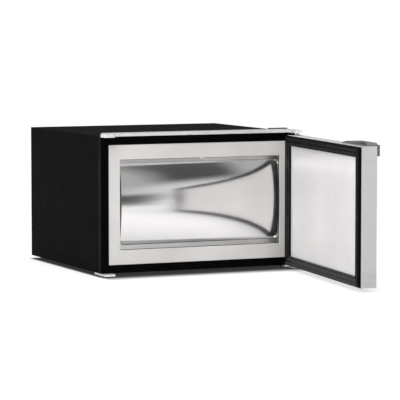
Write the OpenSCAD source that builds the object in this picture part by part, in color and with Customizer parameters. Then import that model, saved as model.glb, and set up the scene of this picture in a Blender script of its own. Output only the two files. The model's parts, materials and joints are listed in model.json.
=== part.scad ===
// Front-opening compressor mini fridge with a side-hinged door standing open.
// Millimetres. The origin is the centre of the cabinet's underside, +Z is up,
// and the cabinet's front faces -Y. The feet reach below the origin.

/* [Cabinet] */
// Overall width of the cabinet
body_w = 440; // [420:5:500]
// Depth of the cabinet, front frame to rear edge
body_d = 408; // [400:2:440]
// Height of the cabinet, underside to top panel
body_h = 280; // [270:2:320]
// Thickness of the sheet metal panels
sheet_t = 1.2; // [0.8:0.1:1.5]
// Height of the rubber feet
foot_h = 6; // [5:1:12]
// Radius of the rubber feet
foot_r = 12; // [8:1:16]

/* [Front surround] */
// Width of the dark front frame at the sides
frame_side = 17.5; // [14:0.5:20]
// Width of the dark front frame at the top
frame_top = 18; // [15:0.5:20]
// Width of the dark front frame at the bottom
frame_bottom = 16.5; // [14:0.5:18]
// Depth of the dark front frame
frame_deep = 14; // [10:1:18]
// Flange margin from the cabinet side to the opening, latch side
open_left = 42.5; // [38:0.5:48]
// Flange margin from the cabinet side to the opening, hinge side
open_right = 36; // [34:0.5:44]
// Flange margin from the cabinet underside to the opening
open_bottom = 46.5; // [40:0.5:52]
// Flange margin from the cabinet top to the opening
open_top = 48.5; // [42:0.5:54]

/* [Liner] */
// Depth of the cold space
cavity_deep = 235; // [200:5:236]
// Radius of the liner's long corners
liner_r = 7; // [4:1:14]
// Liner lip showing above the opening's lower edge
lip_bottom = 10; // [6:0.5:12]
// Liner lip showing below the opening's upper edge
lip_top = 7; // [4:0.5:10]
// Liner lip showing at each side
lip_side = 2; // [1.5:0.5:5]

/* [Inner flap] */
// Gap between the inner flap and the liner all round
flap_gap = 0.8; // [0.6:0.1:1.2]
// How far the flap's crown stands out in front of the liner's mouth
flap_proud = 6.3; // [4:0.1:6.3]
// Radius of the flap's bow, from its top edge to its bottom edge
flap_bow_r = 300; // [280:5:400]
// Height of the flap's pivot below the top of the cold space
flap_pivot_drop = 12; // [12:0.5:14]
// Radius of the flap's pivot pins
flap_pin_r = 2; // [1.5:0.1:2]

/* [Door] */
// Width of the door
door_w = 443; // [440:0.5:446]
// Thickness of the door without its gasket
door_t = 32; // [28:1:36]
// Height of the door's lower edge above the cabinet underside
door_z0 = 2; // [2:0.5:6]
// Height of the door
door_h = 272; // [268:0.5:273]
// Thickness of the gasket and its retainer together
gasket_t = 6; // [5:0.5:8]
// Height of the moulded door end caps
cap_h = 26; // [20:1:34]
// Angle at which the door stands open
open_angle = 82.5; // [0:0.5:110]

/* [Hinge] */
// Distance of the hinge axis in front of the cabinet front
pin_out = 27; // [26:0.5:29]
// Distance of the hinge axis in from the cabinet side
pin_in = 8; // [7:0.5:10]
// Radius of the hinge pins
pin_r = 3; // [2.5:0.5:3.5]
// Radial running clearance of the hinge bushes
run_fit = 0.05; // [0.02:0.01:0.09]

/* [Top bar] */
// Thickness of the metal bar on the front edge of the top
bar_t = 5; // [4:0.5:6]
// Depth of the bar over the cabinet top
bar_deep = 36; // [30:1:45]
// How far the keeper lobe stands out of the front
keeper_out = 20; // [20:0.5:22]
// Width of the keeper lobe
keeper_w = 25; // [24:0.5:27]

/* [Latch] */
// Length of the latch slide
latch_l = 124; // [112:1:134]
// Travel of the latch slide
latch_travel = 12; // [12:0.5:13]
// Height of the finger lip on the door face
latch_lip_h = 22; // [16:0.5:28]
// Height of the raised grip on the slide's top plate
latch_rise = 3.2; // [2:0.2:4]

/* [Cooling unit] */
// Radius of the compressor shell
comp_r = 52; // [44:1:53]
// Height of the compressor shell
comp_h = 100; // [80:2:110]
// Number of condenser fins
fin_count = 22; // [12:1:24]
// Side of the square fan frame
fan_side = 110; // [90:2:112]
// Number of fan blades
blade_count = 7; // [5:1:9]

/* [Hidden] */
front = -body_d / 2;
rear = body_d / 2;
side = body_w / 2;
inner = side - sheet_t;
top_in = body_h - sheet_t;

flange_y = front + 0.5;
flange_t = 3.8;
seal_t = 1;
seal_peek = 0.8;
liner_t = 1;
liner_y = flange_y + flange_t + seal_t;
liner_back = liner_y + cavity_deep;
liner_flange = 14;
open_x0 = -side + open_left;
open_x1 = side - open_right;
open_z0 = open_bottom;
open_z1 = body_h - open_top;
cav_x0 = open_x0 + lip_side;
cav_x1 = open_x1 - lip_side;
cav_z0 = open_z0 + lip_bottom;
cav_z1 = open_z1 - lip_top;
frame_back = front + frame_deep;

flap_rect = [cav_x0 + flap_gap, cav_x1 - flap_gap, cav_z0 + flap_gap, cav_z1 - flap_gap];
flap_mid_z = (cav_z0 + cav_z1) / 2;
flap_half = (flap_rect[3] - flap_rect[2]) / 2;
flap_axis_y = liner_y - flap_proud + flap_bow_r;
flap_edge_y = flap_axis_y - sqrt(flap_bow_r * flap_bow_r - flap_half * flap_half);
flap_rim = 5;
flap_sheet_t = 1;
flap_back_t = 1.5;
flap_rear_y = flap_edge_y + flap_rim;
flap_pivot_y = flap_rear_y + 1;
flap_pivot_z = cav_z1 - flap_pivot_drop;
flap_boss_r = 4;
flap_boss_l = 16;
flap_bush_r = 4.5;
flap_bush_l = 8;
flap_pin_in = 12;
flap_pin_out = 6;

evap_t = 1.5;
evap_y = liner_back + liner_t;
evap_r = 3;
evap_x0 = -130;
evap_x1 = 137;
evap_z0 = 85;
evap_pitch = 25;
evap_runs = 5;
evap_line = evap_y + evap_t + evap_r;
evap_z1 = evap_z0 + evap_pitch * (evap_runs - 1);
foam_pocket = evap_line + evap_r + 1;
bulk_y = 72;
room_y = bulk_y + sheet_t;
panel_y = rear - 2.4;

bar_z = body_h + bar_t;
bar_lip = 1.5;
bar_drop = 0.9;
keeper_drop = 1.8;
keeper_rim = 1.5;
keeper_deep = 12;
bar_back = front + bar_deep;
bar_front = front - bar_lip;
bar_slant = 26;
tongue_x = side - 18.5;
tongue_y = front - 38.5;
bracket_t = 3.8;
bracket_w = 24;
bracket_y = front - 22;
pin = [side - pin_in, front - pin_out, 0];
screw_y = front + 7;

door_x1 = side + 1.5;
door_x0 = door_x1 - door_w;
door_z1 = door_z0 + door_h;
door_in = front - 7;
door_out = door_in - door_t;
door_skin_t = 1.2;
cap_wall = 2.5;
boss_r = 7.5;
bush_r = 5;
bush_deep = 14;
gasket_hinge = 31;
gasket_free = 18;
gasket_top = 20;
gasket_bottom = 20.5;
retainer_t = 1.5;
gasket_inset = 3;
gasket_face = door_in + gasket_t;
panel_raise = gasket_t - 4.5;
magnet_w = 7;
magnet_t = 2;
magnet_in = 7;

latch_base_t = 2;
latch_gap = 0.3;
latch_t = 1.6;
latch_z = door_z1 + latch_base_t + latch_gap;
latch_x1 = door_x0 + latch_l;
latch_lip_y = door_out - 0.5;
latch_lip_t = 5;
latch_inner_y = front - 12;
latch_back_y = latch_lip_y - latch_lip_t;
grip_x0 = door_x0 + 12;
grip_x1 = latch_x1 - 26;
grip_notch_x = -side + keeper_w + latch_travel + 2;
grip_notch_y = front - keeper_out - 2;
tooth_x = -side + keeper_w + 3;
tooth_l = 6;
tooth_w = 5.5;
tooth_h = 4.7;
slot_y = front - 26;
slot_x0 = latch_x1 - 100;
slot_x1 = latch_x1 - 36;
slot_half = 3.3;
pocket_half = 7;
foot_len = 46;
latch_screw_x = [slot_x0 - 14, slot_x1 + 12];

comp_x = -135;
comp_y = 137;
comp_z = 22;
cond_x0 = 40;
cond_x1 = 170;
cond_y = 108;
cond_z0 = 45;
cond_pitch = 30;
cond_r = 4;
cond_half = 16;
cond_row = 7.5;
drier_x = 2;
drier_y = cond_y - cond_row - 13;
drier_z = 66;
fan_x = 105;
fan_z = 90;
fan_y = 130;
fan_t = 25;
fan_bore = fan_side / 2 - 4;
hub_r = 19;
knob_x = -30;
knob_z = 225;
knob_r = 14;
socket_x = 80;
socket_z = 225;
pipe_r = 3;
// screws: shank radius, clearance, countersunk head and its hexagon socket
screw_r = 1.6;
head_r = 3.4;
head_h = 2;
hex_r = 1.4;
hex_deep = 1.2;
pan_r = 1.5;
pan_head_r = 3.2;
pan_head_h = 1.4;
pan_cross = 4;
bar_screw_l = 16;
bar_hole_l = 10;
bracket_hole_l = 8;
bracket_long_l = 13;
bracket_short_l = 5;
latch_screw_l = 7;
rear_screw_l = 8;
bracket_screw_in = 10;
// rear panel: ventilation slots in two columns, and its two cut-outs
slot_rise = 9;
slot_h = 3.6;
slot_col_in = 4;
slot_col_out = 50;
vent_z = 30;
vent_rows = 12;
intake_z = 46;
intake_rows = 11;
plate_half_w = 30;
plate_half_h = 25;
inlet_half_w = 20;
inlet_half_h = 12;
inlet_bore_w = 15;
inlet_bore_h = 8;
inlet_deep = 20;
inlet_wall = 6;
contact_gap = 11;
contact_half_t = 0.5;
contact_half_h = 3;
contact_l = 11;
// feet: chamfer, and the recess under each
foot_chamfer = 1.5;
foot_hole_r = 4;
foot_hole_h = 3;
// compressor and its rubber mounts
comp_dome = 24;
comp_seam = 3;
comp_seam_h = 4;
comp_seam_at = 0.52;
comp_foot_z = 16;
comp_foot_t = 3;
comp_foot_half_w = 74;
comp_foot_half_d = 50;
comp_post_in = 26;
mount_r = 10;
mount_neck_r = 6;
mount_top_r = 8.5;
mount_top_h = 3;
mount_bolt_r = 3;
mount_head_r = 6;
mount_head_h = 4;
cover_in = 8;
cover_out = 22;
cover_half = 22;
cover_z0 = 40;
cover_z1 = 70;
ctrl_x0 = -50;
ctrl_x1 = 12;
ctrl_y0 = 152;
ctrl_y1 = 192;
ctrl_z = 62;
ctrl_rib_h = 10;
ctrl_rib_t = 2;
ctrl_rib_pitch = 7.5;
ctrl_rib_in = 4;
ctrl_ribs = 8;
// condenser sheets
fin_t = 0.5;
fin_end = 6;
fin_h = 120;
fin_drop = 15;
cond_plate_t = 1.2;
cond_plate_h = 149;
cond_plate_over = 2;
cond_foot_w = 12;
tube_over = 4;
// fan
fan_edge = 6;
fan_screw_r = 2.2;
fan_motor_h = 6;
fan_arm_half = 3;
fan_arm_t = 4;
fan_shaft_r = 2;
fan_foot_half = 20;
rotor_back = 6.5;
rotor_hub_h = 15.5;
rotor_tip_gap = 1.5;
blade_t = 1.6;
blade_l = 24;
blade_tilt = 40;
blade_root = 3;
blade_mid = 10.5;
rotor_h = 16;
// filter drier and pipe routes
drier_r = 9;
drier_cone = 12;
drier_l = 56;
drier_bend_x = 26;
drier_low_z = 40;
hot_pipe_x = 22;
hot_pipe_z = 170;
hot_pipe_in = 24;
cold_pipe_y = 79;
cold_pipe_z = 150;
// thermostat
spindle_r = 3;
spindle_l = 21;
spindle_in = 8;
well_deep = 18;
well_gap = 4;
stat_deep = 42;
knob_h = 12;
grip_half = 3;
panel_peek = 0.5;
round_fn = 48;
small_fn = 24;

// A box between two opposite corners
module span(a, b) {
  translate(a) cube(b - a);
}

// A flat rectangular ring in the XZ plane, from y0 to y1.
// Each rectangle is [x0, x1, z0, z1].
module ring(outer, hole, y0, y1) {
  difference() {
    span([outer[0], y0, outer[2]], [outer[1], y1, outer[3]]);
    span([hole[0], y0 - 1, hole[2]], [hole[1], y1 + 1, hole[3]]);
  }
}

// A rectangle [x0, x1, z0, z1] grown outwards by d on every side
function grown(q, d) = [q[0] - d, q[1] + d, q[2] - d, q[3] + d];

// A bar along Y with rounded long corners
module round_bar(q, r, y0, y1) {
  w = q[1] - q[0];
  h = q[3] - q[2];
  translate([q[0], y1, q[2]]) rotate([90, 0, 0]) linear_extrude(y1 - y0) {
    translate([r, 0]) square([w - 2 * r, h]);
    translate([0, r]) square([w, h - 2 * r]);
    for (x = [r, w - r], z = [r, h - r]) translate([x, z]) circle(r, $fn = round_fn);
  }
}

// A flat plate in the XY plane whose two front corners are rounded
module lobe(x0, x1, y0, y1, z0, z1, r) {
  translate([0, 0, z0]) linear_extrude(z1 - z0) {
    translate([x0, y0 + r]) square([x1 - x0, y1 - y0 - r]);
    translate([x0 + r, y0]) square([x1 - x0 - 2 * r, r * 2]);
    for (x = [x0 + r, x1 - r]) translate([x, y0 + r]) circle(r, $fn = round_fn);
  }
}

// A straight round rod between two points
module rod(a, b, r) {
  d = b - a;
  len = norm(d);
  translate(a) rotate([0, acos(d[2] / len), atan2(d[1], d[0])])
    cylinder(r = r, h = len, $fn = small_fn);
}

// A pipe through a list of points, with ball-shaped elbows
module pipe(points, r) {
  for (i = [0 : len(points) - 2]) rod(points[i], points[i + 1], r);
  for (i = [1 : len(points) - 2]) translate(points[i]) sphere(r, $fn = small_fn);
}

// Half a ring of pipe in the XZ plane, bulging towards +X
module return_bend(bend_r, r) {
  rotate([90, 0, 0]) rotate([0, 0, -90])
    rotate_extrude(angle = 180, $fn = round_fn) translate([bend_r, 0]) circle(r, $fn = small_fn);
}

// Countersunk screw pointing down, with the top of its head at z = 0
module csk_screw(l) {
  difference() {
    union() {
      translate([0, 0, -head_h]) cylinder(r1 = screw_r, r2 = head_r, h = head_h, $fn = small_fn);
      translate([0, 0, -l]) cylinder(r = screw_r, h = l - head_h, $fn = small_fn);
    }
    translate([0, 0, -hex_deep]) cylinder(r = hex_r, h = hex_deep + 1, $fn = 6);
  }
}

// The clearance hole of that screw
module csk_hole(l) {
  translate([0, 0, -head_h]) cylinder(r1 = screw_r, r2 = head_r, h = head_h, $fn = small_fn);
  translate([0, 0, -l]) cylinder(r = screw_r, h = l - head_h + 0.01, $fn = small_fn);
}

// Pan head screw pointing towards -Y, with its head's underside at y = 0
module pan_screw_y(l) {
  rotate([90, 0, 0]) cylinder(r = pan_r, h = l, $fn = small_fn);
  difference() {
    rotate([-90, 0, 0]) cylinder(r = pan_head_r, h = pan_head_h, $fn = small_fn);
    translate([-pan_cross / 2, pan_head_h / 2, -0.5]) cube([pan_cross, 1, 1]);
    translate([-0.5, pan_head_h / 2, -pan_cross / 2]) cube([1, 1, pan_cross]);
  }
}

// Turns what is drawn for the closed door to where the door stands
module on_door() {
  translate(pin) rotate([0, 0, open_angle]) translate(-pin) children();
}

body_rect = [-side, side, 0, body_h];
frame_hole = [-side + frame_side, side - frame_side, frame_bottom, body_h - frame_top];
open_rect = [open_x0, open_x1, open_z0, open_z1];
cavity_rect = [cav_x0, cav_x1, cav_z0, cav_z1];
door_rect = [door_x0, door_x1, door_z0, door_z1];
gasket_hole = [door_x0 + gasket_free, door_x1 - gasket_hinge,
  door_z0 + gasket_bottom, door_z1 - gasket_top];
fixing_r = 2.75;
fixing_at = [for (x = [-150, 150], y = [-82, 82]) [x, y]];
bar_screw_x = [-150, 0, 150];
bracket_screw_x = [-side + bracket_screw_in, side - bracket_screw_in];
bracket_screw_y = [screw_y, front + 26];
foot_at = [for (x = [-side + 32, side - 32], y = [front + 66, rear - 36]) [x, y]];
comp_bolt_at = [for (x = [-62, 62], y = [-38, 38]) [comp_x + x, comp_y + y]];
rear_screw_at = [for (x = [-side + 12, 0, side - 12], z = [12, body_h - 12]) [x, z]];

// ---- cabinet ----

module cabinet_wrap() color("#161617") difference() {
  span([-side, frame_back, 0], [side, rear, body_h]);
  span([-inner, frame_back - 1, -1], [inner, rear + 1, top_in]);
}

module base_pan() color("#161617") difference() {
  span([-inner, frame_back, 0], [inner, rear, sheet_t]);
  for (x = bracket_screw_x)
    translate([x, bracket_screw_y[1], -1]) cylinder(r = screw_r, h = 4, $fn = small_fn);
  for (p = fixing_at) translate([p[0], p[1], -1]) cylinder(r = fixing_r, h = 4, $fn = small_fn);
}

module rear_slots(middle_x, z0, count) {
  for (x = [middle_x - slot_col_out, middle_x + slot_col_in], i = [0 : count - 1])
    span([x, panel_y - 1, z0 + i * slot_rise],
      [x + slot_col_out - slot_col_in, panel_y + 3, z0 + i * slot_rise + slot_h]);
}

module rear_panel() color("#161617") difference() {
  span([-inner, panel_y, sheet_t], [inner, panel_y + sheet_t, top_in]);
  rear_slots(fan_x, intake_z, intake_rows);
  rear_slots(comp_x, vent_z, vent_rows);
  span([knob_x - plate_half_w, panel_y - 1, knob_z - plate_half_h],
    [knob_x + plate_half_w, panel_y + 3, knob_z + plate_half_h]);
  span([socket_x - inlet_half_w, panel_y - 1, socket_z - inlet_half_h],
    [socket_x + inlet_half_w, panel_y + 3, socket_z + inlet_half_h]);
  for (p = rear_screw_at)
    translate([p[0], panel_y + 2, p[1]]) rotate([90, 0, 0]) cylinder(r = pan_r, h = 4, $fn = small_fn);
}

module bulkhead() color("#8f9296") difference() {
  span([-inner, bulk_y, sheet_t], [inner, room_y, top_in]);
  for (p = [[evap_x0, evap_z0], [evap_x1, evap_z1]])
    translate([p[0], room_y + 1, p[1]]) rotate([90, 0, 0]) cylinder(r = pipe_r, h = 4, $fn = small_fn);
}

module front_frame() color("#0c0c0d") difference() {
  ring(body_rect, frame_hole, front, frame_back);
  for (x = bar_screw_x)
    translate([x, screw_y, body_h - 11]) cylinder(r = screw_r, h = 12, $fn = small_fn);
  for (x = bracket_screw_x)
    translate([x, screw_y, -1]) cylinder(r = screw_r, h = 10.2, $fn = small_fn);
}

module breaker_flange() color("#d5d2cf")
  ring(frame_hole, open_rect, flange_y, flange_y + flange_t);

module flange_seal() color("#1b1b1c")
  ring(grown(open_rect, 9), grown(open_rect, -seal_peek), flange_y + flange_t, liner_y);

module liner() color("#c9cbce") difference() {
  union() {
    round_bar(grown(cavity_rect, liner_t), liner_r + liner_t, liner_y, liner_back + liner_t);
    span([cav_x0 - liner_flange, liner_y, cav_z0 - liner_flange],
      [cav_x1 + liner_flange, liner_y + liner_t, cav_z1 + liner_flange]);
  }
  round_bar(cavity_rect, liner_r, liner_y - 1, liner_back);
  flap_axle(flap_bush_r, cav_x0 - 5, cav_x0 + 1);
  flap_axle(flap_bush_r, cav_x1 - 1, cav_x1 + 5);
}

module liner_clip() color("#dcdad7")
  span([1.5, flange_y + 0.7, open_z1 - 3], [9, flange_y + flange_t, open_z1]);

module cabinet_foam() color("#e9dfb0") difference() {
  span([-inner, frame_back, sheet_t], [inner, bulk_y, top_in]);
  round_bar(grown(cavity_rect, liner_t), liner_r + liner_t, frame_back - 1, evap_y);
  span([evap_x0 - 25, evap_y - 1, evap_z0 - 20], [evap_x1 + 25, foam_pocket, evap_z1 + 20]);
  for (p = [[evap_x0, evap_z0], [evap_x1, evap_z1]])
    translate([p[0], bulk_y + 1, p[1]]) rotate([90, 0, 0])
      cylinder(r = pipe_r, h = bulk_y - foam_pocket + 2, $fn = small_fn);
  flap_axle(flap_bush_r, cav_x0 - flap_bush_l, cav_x1 + flap_bush_l);
  for (p = fixing_at) translate([p[0], p[1], 0]) cylinder(r = 6, h = 30, $fn = small_fn);
}

// ---- inner flap, hinged near its top edge, swinging into the cold space ----

// A round bar along the flap's pivot axis, from x0 to x1
module flap_axle(r, x0, x1) {
  translate([x0, flap_pivot_y, flap_pivot_z]) rotate([0, 90, 0])
    cylinder(r = r, h = x1 - x0, $fn = round_fn);
}

// Everything inside a bowed front of the given radius, from y1 forwards
module flap_block(r, inset, y1) {
  intersection() {
    round_bar(grown(flap_rect, -inset), liner_r - flap_gap - inset, liner_y - flap_proud - 1, y1);
    translate([cav_x0 - 5, flap_axis_y, flap_mid_z]) rotate([0, 90, 0])
      cylinder(r = r, h = cav_x1 - cav_x0 + 10, $fn = 180);
  }
}

module flap_skin() color("#c9cbce") difference() {
  flap_block(flap_bow_r, 0, flap_rear_y);
  flap_block(flap_bow_r - flap_sheet_t, flap_sheet_t, flap_rear_y + 1);
  flap_axle(flap_pin_r, cav_x0, cav_x1);
}

module flap_core() color("#e9dfb0") difference() {
  flap_block(flap_bow_r - flap_sheet_t, flap_sheet_t, flap_rear_y - flap_back_t);
  flap_bosses(flap_boss_r);
}

module flap_bosses(r) {
  flap_axle(r, flap_rect[0] + flap_sheet_t, flap_rect[0] + flap_sheet_t + flap_boss_l);
  flap_axle(r, flap_rect[1] - flap_sheet_t - flap_boss_l, flap_rect[1] - flap_sheet_t);
}

module flap_back() color("#dcdad7") difference() {
  union() {
    round_bar(grown(flap_rect, -flap_sheet_t), liner_r - flap_gap - flap_sheet_t,
      flap_rear_y - flap_back_t, flap_rear_y);
    flap_bosses(flap_boss_r);
  }
  flap_pins();
}

module flap_pins() color("#9a9c9f") {
  flap_axle(flap_pin_r, flap_rect[0] - flap_gap - flap_pin_out, flap_rect[0] + flap_pin_in);
  flap_axle(flap_pin_r, flap_rect[1] - flap_pin_in, flap_rect[1] + flap_gap + flap_pin_out);
}

module flap_bushes() color("#8d8d8f") difference() {
  union() {
    flap_axle(flap_bush_r, cav_x0 - flap_bush_l, cav_x0);
    flap_axle(flap_bush_r, cav_x1, cav_x1 + flap_bush_l);
  }
  flap_axle(flap_pin_r + run_fit, cav_x0 - flap_bush_l + 1, cav_x1 + flap_bush_l - 1);
}

// ---- evaporator behind the liner ----

module evaporator_plate() color("#b9bdc2")
  span([evap_x0 - 22, evap_y, evap_z0 - 16], [evap_x1 + 22, evap_y + evap_t, evap_z1 + 16]);

module evaporator_tube() color("#b9bdc2") {
  for (i = [0 : evap_runs - 1])
    rod([evap_x0, evap_line, evap_z0 + i * evap_pitch],
      [evap_x1, evap_line, evap_z0 + i * evap_pitch], evap_r);
  for (i = [0 : evap_runs - 2])
    translate([i % 2 == 0 ? evap_x1 : evap_x0, evap_line, evap_z0 + (i + 0.5) * evap_pitch])
      rotate([0, i % 2 == 0 ? 0 : 180, 0]) return_bend(evap_pitch / 2, evap_r);
  for (p = [[evap_x0, evap_z0], [evap_x1, evap_z1]]) {
    translate([p[0], evap_line, p[1]]) sphere(evap_r, $fn = small_fn);
    rod([p[0], evap_line, p[1]], [p[0], room_y, p[1]], evap_r);
  }
}

module feet() color("#141414") for (p = foot_at) translate([p[0], p[1], -foot_h]) difference() {
  union() {
    cylinder(r = foot_r, h = foot_h - foot_chamfer, $fn = round_fn);
    translate([0, 0, foot_h - foot_chamfer])
      cylinder(r1 = foot_r, r2 = foot_r - foot_chamfer, h = foot_chamfer, $fn = round_fn);
  }
  translate([0, 0, -0.01]) cylinder(r = foot_hole_r, h = foot_hole_h, $fn = small_fn);
}

// ---- top bar and hinges ----

module top_bar() color("#cfd1d3") difference() {
  union() {
    span([-side, front, body_h], [side, bar_back, bar_z]);
    span([-side, bar_front, body_h - bar_drop], [side, front, bar_z]);
    lobe(-side, -side + keeper_w, front - keeper_out, front, body_h - keeper_drop, bar_z, 4);
    lobe(tongue_x, side, tongue_y, front, body_h - bar_drop, bar_z, 6);
  }
  // the keeper pocket is open to the hinge side and below
  span([-side + keeper_w - keeper_deep, front - keeper_out + keeper_rim, body_h - 5],
    [-side + keeper_w + 1, front - 8, body_h + 3.5]);
  translate([pin[0], pin[1], body_h - 2]) cylinder(r = pin_r, h = bar_t + 4, $fn = round_fn);
  for (x = bar_screw_x) translate([x, screw_y, bar_z]) csk_hole(bar_hole_l);
  // The left end slants away from the front corner
  translate([-side, front, body_h - 1]) rotate([0, 0, -bar_slant])
    translate([-bar_deep, 0, 0]) cube([bar_deep, 2 * bar_deep, bar_t + 2]);
}

module bar_screws() color("#a9abad")
  for (x = bar_screw_x) translate([x, screw_y, bar_z]) csk_screw(bar_screw_l);

module hinge_cap() color("#151516") difference() {
  span([side - 40, bar_back, body_h], [side, bar_back + 14, body_h + 6.7]);
  span([side - 38.4, bar_back + 1.6, body_h - 1], [side - 1.6, bar_back + 12.4, body_h + 5.1]);
}

module bottom_hinge() color("#cfd1d3") difference() {
  union() {
    span([side - bracket_w, front, -bracket_t], [side, bar_back, 0]);
    lobe(tongue_x, side, tongue_y, front, -bracket_t, 0, 6);
  }
  translate([pin[0], pin[1], -bracket_t - 1]) cylinder(r = pin_r, h = bracket_t + 2, $fn = round_fn);
  for (y = bracket_screw_y)
    translate([bracket_screw_x[1], y, -bracket_t]) mirror([0, 0, 1]) csk_hole(bracket_hole_l);
}

module bottom_bracket() color("#cfd1d3") difference() {
  union() {
    span([-side, front, -bracket_t], [-side + bracket_w, bar_back, 0]);
    lobe(-side, -side + bracket_w, bracket_y, front, -bracket_t, 0, 4);
  }
  for (y = bracket_screw_y)
    translate([bracket_screw_x[0], y, -bracket_t]) mirror([0, 0, 1]) csk_hole(bracket_hole_l);
}

module bracket_screws() color("#a9abad")
  for (x = bracket_screw_x) {
    translate([x, bracket_screw_y[0], -bracket_t]) mirror([0, 0, 1]) csk_screw(bracket_long_l);
    translate([x, bracket_screw_y[1], -bracket_t]) mirror([0, 0, 1]) csk_screw(bracket_short_l);
  }

module hinge_pin_top() color("#9a9c9f")
  translate([pin[0], pin[1], door_z1 - bush_deep + 1])
    cylinder(r = pin_r, h = bar_z - door_z1 + bush_deep - 1, $fn = round_fn);

module hinge_pin_bottom() color("#9a9c9f")
  translate([pin[0], pin[1], -bracket_t])
    cylinder(r = pin_r, h = bracket_t + door_z0 + bush_deep - 1, $fn = round_fn);

// ---- cooling unit ----

module compressor() color("#1e1f21") translate([comp_x, comp_y, comp_z]) {
  rotate_extrude($fn = 64) {
    square([comp_r - comp_dome, comp_h]);
    translate([0, comp_dome]) square([comp_r, comp_h - 2 * comp_dome]);
    for (z = [comp_dome, comp_h - comp_dome])
      translate([comp_r - comp_dome, z]) circle(comp_dome, $fn = round_fn);
  }
  translate([0, 0, comp_h * comp_seam_at]) cylinder(r = comp_r + comp_seam, h = comp_seam_h, $fn = 64);
}

module compressor_base() color("#2b2c2e") difference() {
  union() {
    span([comp_x - comp_foot_half_w, comp_y - comp_foot_half_d, comp_foot_z],
      [comp_x + comp_foot_half_w, comp_y + comp_foot_half_d, comp_foot_z + comp_foot_t]);
    translate([comp_x, comp_y, comp_foot_z + comp_foot_t])
      cylinder(r = comp_r - comp_post_in, h = comp_z - comp_foot_z - comp_foot_t, $fn = round_fn);
  }
  for (p = comp_bolt_at) translate([p[0], p[1], comp_foot_z - 1])
    cylinder(r = mount_neck_r, h = comp_foot_t + 2, $fn = small_fn);
}

module compressor_mounts() color("#111111") for (p = comp_bolt_at) translate([p[0], p[1], 0]) difference() {
  union() {
    translate([0, 0, sheet_t]) cylinder(r = mount_r, h = comp_foot_z - sheet_t, $fn = small_fn);
    translate([0, 0, comp_foot_z]) cylinder(r = mount_neck_r, h = comp_foot_t, $fn = small_fn);
    translate([0, 0, comp_foot_z + comp_foot_t]) cylinder(r = mount_top_r, h = mount_top_h, $fn = small_fn);
  }
  translate([0, 0, -1]) cylinder(r = mount_bolt_r, h = 2 * comp_z, $fn = small_fn);
}

mount_top_z = comp_foot_z + comp_foot_t + mount_top_h;

module compressor_bolts() color("#a9abad") for (p = comp_bolt_at) translate([p[0], p[1], 0]) {
  translate([0, 0, sheet_t]) cylinder(r = mount_bolt_r, h = mount_top_z - sheet_t, $fn = small_fn);
  translate([0, 0, mount_top_z]) cylinder(r = mount_head_r, h = mount_head_h, $fn = 6);
}

module terminal_cover() color("#101011") difference() {
  span([comp_x + comp_r - cover_in, comp_y - cover_half, cover_z0],
    [comp_x + comp_r + cover_out, comp_y + cover_half, cover_z1]);
  translate([comp_x, comp_y, 0]) cylinder(r = comp_r, h = body_h, $fn = 64);
}

module controller_box() color("#19191b") {
  span([ctrl_x0, ctrl_y0, sheet_t], [ctrl_x1, ctrl_y1, ctrl_z]);
  for (i = [0 : ctrl_ribs - 1]) {
    x = ctrl_x0 + ctrl_rib_in + i * ctrl_rib_pitch;
    span([x, ctrl_y0 + ctrl_rib_in, ctrl_z], [x + ctrl_rib_t, ctrl_y1 - ctrl_rib_in, ctrl_z + ctrl_rib_h]);
  }
}

cond_rows = [cond_y - cond_row, cond_y + cond_row];
cond_levels = [for (i = [0 : 3]) cond_z0 + i * cond_pitch];
cond_end_x0 = cond_x0 - tube_over;
cond_end_x1 = cond_x1 + tube_over;
cond_plate_half = cond_half + cond_plate_over;

module tube_pattern(r) {
  for (y = cond_rows, z = cond_levels) translate([y, z]) circle(r, $fn = small_fn);
}

// Extrudes an outline given in the YZ plane along X, from x0 to x1
module along_x(x0, x1) {
  translate([x0, 0, 0]) rotate([90, 0, 90]) linear_extrude(x1 - x0) children();
}

module condenser_fins() color("#b9bdc2")
  for (i = [0 : fin_count - 1]) {
    x = cond_x0 + fin_end + i * (cond_x1 - cond_x0 - 2 * fin_end) / (fin_count - 1);
    along_x(x - fin_t / 2, x + fin_t / 2) difference() {
      translate([cond_y - cond_half, cond_z0 - fin_drop]) square([2 * cond_half, fin_h]);
      tube_pattern(cond_r);
    }
  }

module condenser_tube() color("#b5703d") {
  for (y = cond_rows, z = cond_levels) rod([cond_end_x0, y, z], [cond_end_x1, y, z], cond_r);
  for (y = cond_rows, i = [0 : 2])
    translate([i == 1 ? cond_end_x0 : cond_end_x1, y, cond_z0 + (i + 0.5) * cond_pitch])
      rotate([0, i == 1 ? 180 : 0, 0]) return_bend(cond_pitch / 2, cond_r);
  translate([cond_end_x0, cond_y, cond_z0]) rotate([90, 0, 0]) rotate([0, 180, 0])
    return_bend(cond_row, cond_r);
}

module condenser_brackets() color("#8f9296") for (x = [cond_x0, cond_x1]) difference() {
  union() {
    along_x(x - cond_plate_t / 2, x + cond_plate_t / 2)
      translate([cond_y - cond_plate_half, sheet_t]) square([2 * cond_plate_half, cond_plate_h]);
    span([x - cond_plate_t / 2, cond_y - cond_plate_half, sheet_t],
      [x + cond_foot_w, cond_y + cond_plate_half, 2 * sheet_t]);
  }
  along_x(x - 2, x + 2) tube_pattern(cond_r);
}

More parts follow.
